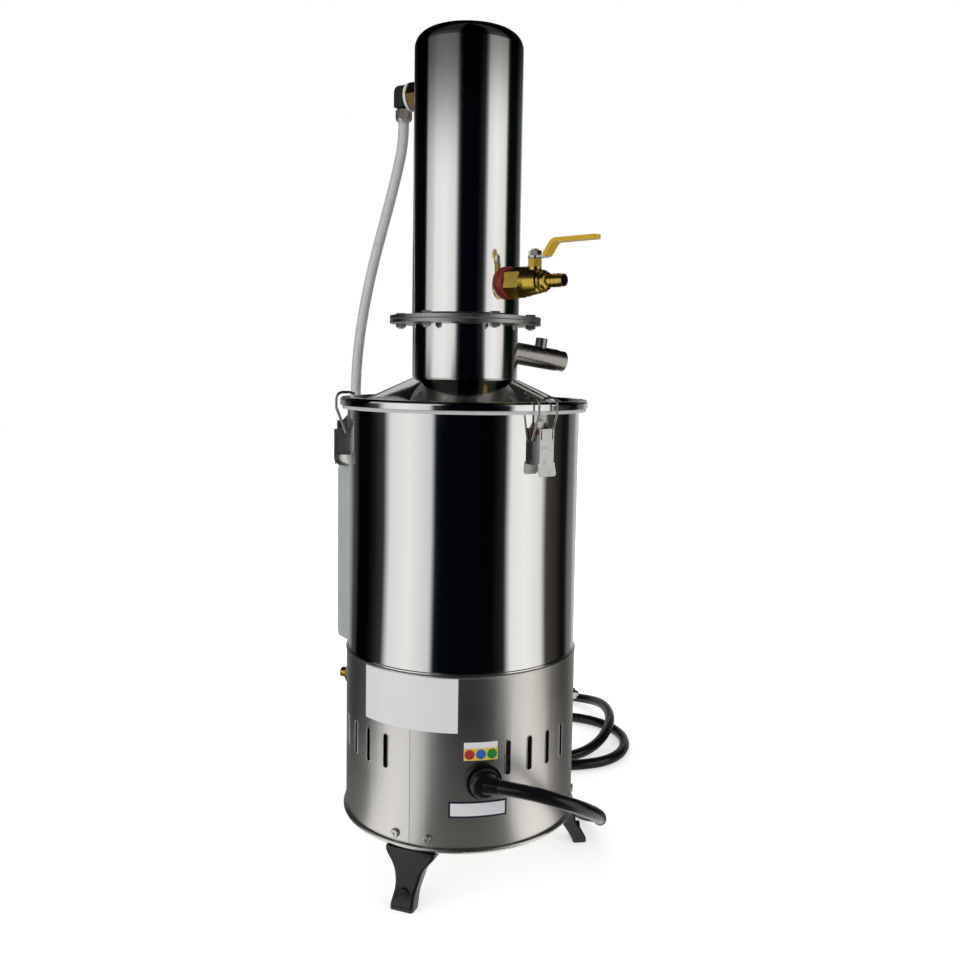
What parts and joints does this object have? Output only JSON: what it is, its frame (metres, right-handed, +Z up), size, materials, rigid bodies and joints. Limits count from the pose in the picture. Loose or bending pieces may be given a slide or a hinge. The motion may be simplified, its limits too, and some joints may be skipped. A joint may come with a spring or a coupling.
{
  "type": "bench water distiller",
  "caption": "Round stainless boiler on feet with a clamped lid, a tall water-cooled condenser, a ball valve, an outlet pipe, a control box and a loose mains cord.",
  "frame": {"origin": "on the boiler's axis, at the level of the soles of the feet", "axes": "+Z up along the boiler's axis; -Y towards the side with the cable gland; +X towards the side with the ball valve and the outlet pipe"},
  "size_m": [0.3409, 0.5552, 0.7595],
  "materials": {
    "polished_steel": "mirror polished stainless",
    "satin_steel": "brushed stainless",
    "zinc_steel": "bright zinc plated",
    "spring_wire": "bright wire",
    "copper_rivet": "copper washed",
    "brass": "machined",
    "nickel": "nickel plated",
    "gasket_grey": "silicone rubber",
    "gasket_pale": "silicone rubber",
    "seal_white": "fibre washer",
    "seal_red": "fibre washer",
    "black_rubber": "moulded rubber",
    "cable_black": "extruded",
    "core_wires": "insulated cores",
    "foot_black": "moulded",
    "sleeve_yellow": "dipped vinyl",
    "hose_clear": "milky silicone hose",
    "elbow_black": "moulded",
    "box_paint": "powder coat",
    "button_green": "moulded",
    "button_red": "moulded",
    "lamp_amber": "lens",
    "inner_black": "moulded",
    "heater_steel": "annealed tube"
  },
  "bodies": {
    "distiller": {"base_housing": "satin_steel", "base_plate": "satin_steel", "base_screws": "zinc_steel", "feet": "foot_black", "boiler_pot": "polished_steel", "pot_gasket": "gasket_pale", "lid": "polished_steel", "condenser_neck": "polished_steel", "distillate_tray": "satin_steel", "outlet_pipe": "satin_steel", "lower_flange": "satin_steel", "flange_gasket": "gasket_grey", "upper_flange": "satin_steel", "flange_bolts": "zinc_steel", "condenser_shell": "polished_steel", "tube_plates": "satin_steel", "condenser_tubes": "satin_steel", "steam_header": "satin_steel", "inlet_washer": "seal_red", "valve_body": "brass", "hose_barb": "brass", "gland_nut": "brass", "elbow_nut": "brass", "elbow_washer": "seal_white", "elbow_body": "elbow_black", "hose_nut": "nickel", "return_hose": "hose_clear", "feed_cup": "satin_steel", "box_body": "box_paint", "box_cover": "box_paint", "cover_screws": "zinc_steel", "button_bezels": "nickel", "pilot_lamp": "lamp_amber", "contactor": "inner_black", "wiring_conduit": "inner_black", "heaters": "heater_steel", "heater_nuts": "brass", "thermostat": "nickel", "drain_valve": "brass", "earth_terminal": "zinc_steel", "cable_gland": "black_rubber", "power_cord": "cable_black", "cord_loops": "cable_black", "cord_cores": "core_wires", "latch_plates": "zinc_steel", "latch_rivets": "copper_rivet"},
    "inlet_handle": {"valve_ball": "nickel", "valve_stem": "brass", "valve_handle": "zinc_steel", "handle_sleeve": "sleeve_yellow", "handle_nut": "nickel"},
    "drain_key": {"drain_handle": "nickel"},
    "start_push": {"start_button": "button_green"},
    "stop_push": {"stop_button": "button_red"},
    "clamp_lever_1": {"latch_lever_1": "zinc_steel"},
    "clamp_bail_1": {"latch_bail_1": "spring_wire"},
    "clamp_lever_2": {"latch_lever_2": "zinc_steel"},
    "clamp_bail_2": {"latch_bail_2": "spring_wire"},
    "clamp_lever_3": {"latch_lever_3": "zinc_steel"},
    "clamp_bail_3": {"latch_bail_3": "spring_wire"}
  },
  "joints": [
    {"name": "inlet_valve_turn", "type": "hinge", "parent": "distiller", "child": "inlet_handle", "pos_m": [0.0593, -0.0534, 0.5373], "axis": [0, 0, 1], "range_deg": [-90, 0]},
    {"name": "drain_turn", "type": "hinge", "parent": "distiller", "child": "drain_key", "pos_m": [-0.10514, 0.05949, 0.15], "axis": [0, 0, 1], "range_deg": [0, 90]},
    {"name": "start_press", "type": "slide", "parent": "distiller", "child": "start_push", "axis": [0.5135, -0.8581, 0], "range_m": [0, 0.004], "stiffness_N_per_m": 400, "springref_m": -0.002},
    {"name": "stop_press", "type": "slide", "parent": "distiller", "child": "stop_push", "axis": [0.5135, -0.8581, 0], "range_m": [0, 0.004], "stiffness_N_per_m": 400, "springref_m": -0.002},
    {"name": "clamp_1_open", "type": "hinge", "parent": "distiller", "child": "clamp_lever_1", "pos_m": [0.06767, -0.09112, 0.4088], "axis": [-0.8028, -0.5962, 0], "range_deg": [0, 140]},
    {"name": "clamp_1_bail", "type": "hinge", "parent": "clamp_lever_1", "child": "clamp_bail_1", "pos_m": [0.06511, -0.08767, 0.4017], "axis": [-0.8028, -0.5962, 0], "range_deg": [-180, 0]},
    {"name": "clamp_2_open", "type": "hinge", "parent": "distiller", "child": "clamp_lever_2", "pos_m": [-0.11265, -0.01383, 0.4088], "axis": [-0.1219, 0.9925, 0], "range_deg": [0, 140]},
    {"name": "clamp_2_bail", "type": "hinge", "parent": "clamp_lever_2", "child": "clamp_bail_2", "pos_m": [-0.10839, -0.01331, 0.4017], "axis": [-0.1219, 0.9925, 0], "range_deg": [-180, 0]},
    {"name": "clamp_3_open", "type": "hinge", "parent": "distiller", "child": "clamp_lever_3", "pos_m": [0.04435, 0.10448, 0.4088], "axis": [0.9205, -0.3907, 0], "range_deg": [0, 140]},
    {"name": "clamp_3_bail", "type": "hinge", "parent": "clamp_lever_3", "child": "clamp_bail_3", "pos_m": [0.04267, 0.10052, 0.4017], "axis": [0.9205, -0.3907, 0], "range_deg": [-180, 0]}
  ],
  "couplings": [
    {"joint": "clamp_1_bail", "follows": "clamp_1_open", "ratio": -1.28},
    {"joint": "clamp_2_bail", "follows": "clamp_2_open", "ratio": -1.28},
    {"joint": "clamp_3_bail", "follows": "clamp_3_open", "ratio": -1.28}
  ]
}
